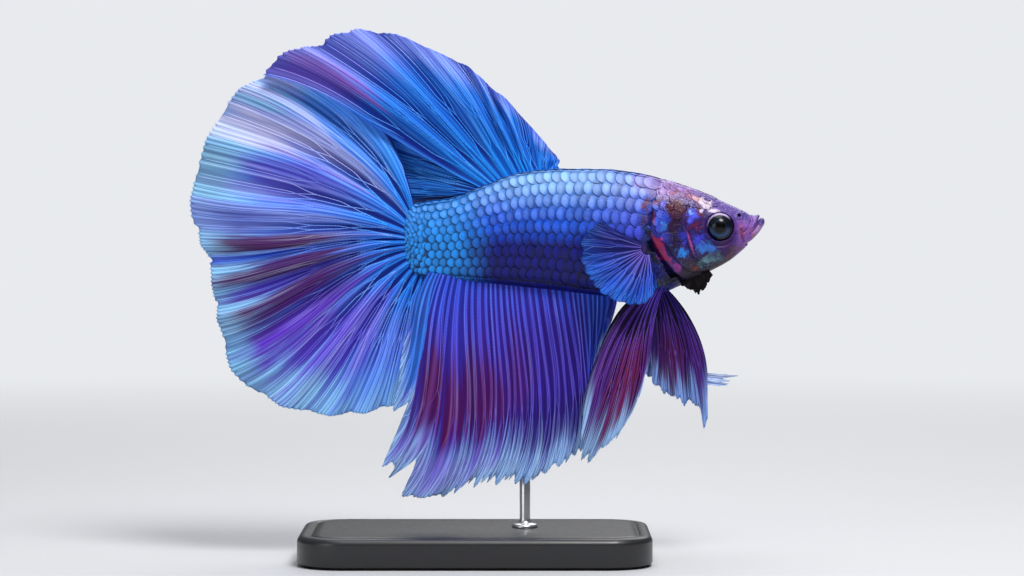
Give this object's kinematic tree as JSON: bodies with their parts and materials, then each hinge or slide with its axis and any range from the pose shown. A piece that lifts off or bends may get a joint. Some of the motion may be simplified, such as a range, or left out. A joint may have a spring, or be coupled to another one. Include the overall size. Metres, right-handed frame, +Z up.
{
  "type": "betta fish",
  "caption": "Life-size male halfmoon betta fish with spread fan tail, tall dorsal and long anal fins, held by a rod on a flat display base.",
  "frame": {"origin": "middle of the stand base's underside, on the surface that the stand rests on", "axes": "+X from the tail towards the nose, -Y the fish's right side, +Z up; the stand rests on its underside, facing -Z"},
  "size_m": [0.0754, 0.0268, 0.0695],
  "materials": {
    "scales": "iridescent blue scales with dark edges, paler along the back, violet towards the head, satin sheen",
    "head_skin": "moist skin, violet on the forehead and lips, blue and maroon patches on the cheeks and gill covers",
    "gill_frill": "near-black thin membrane",
    "eye": "clear glossy cornea over a dark navy iris with a pale ring and a black pupil",
    "fin_web": "thin pleated web with raised rays, blue streaked with violet and maroon, pale translucent edges",
    "stand_black": "fine satin black moulded plastic",
    "stand_steel": "brushed steel rod"
  },
  "bodies": {
    "root": {"head": "head_skin", "lower_jaw": "head_skin", "trunk": "scales", "tail_stalk": "scales", "eye_right": "eye", "gill_cover_right": "head_skin", "gill_frill_right": "gill_frill", "pectoral_fin_right": "fin_web", "eye_left": "eye", "gill_cover_left": "head_skin", "gill_frill_left": "gill_frill", "pectoral_fin_left": "fin_web", "caudal_fin": "fin_web", "dorsal_fin": "fin_web", "anal_fin": "fin_web", "pelvic_fin_right": "fin_web", "pelvic_fin_left": "fin_web", "stand_base": "stand_black", "stand_rod": "stand_steel"}
  },
  "joints": []
}
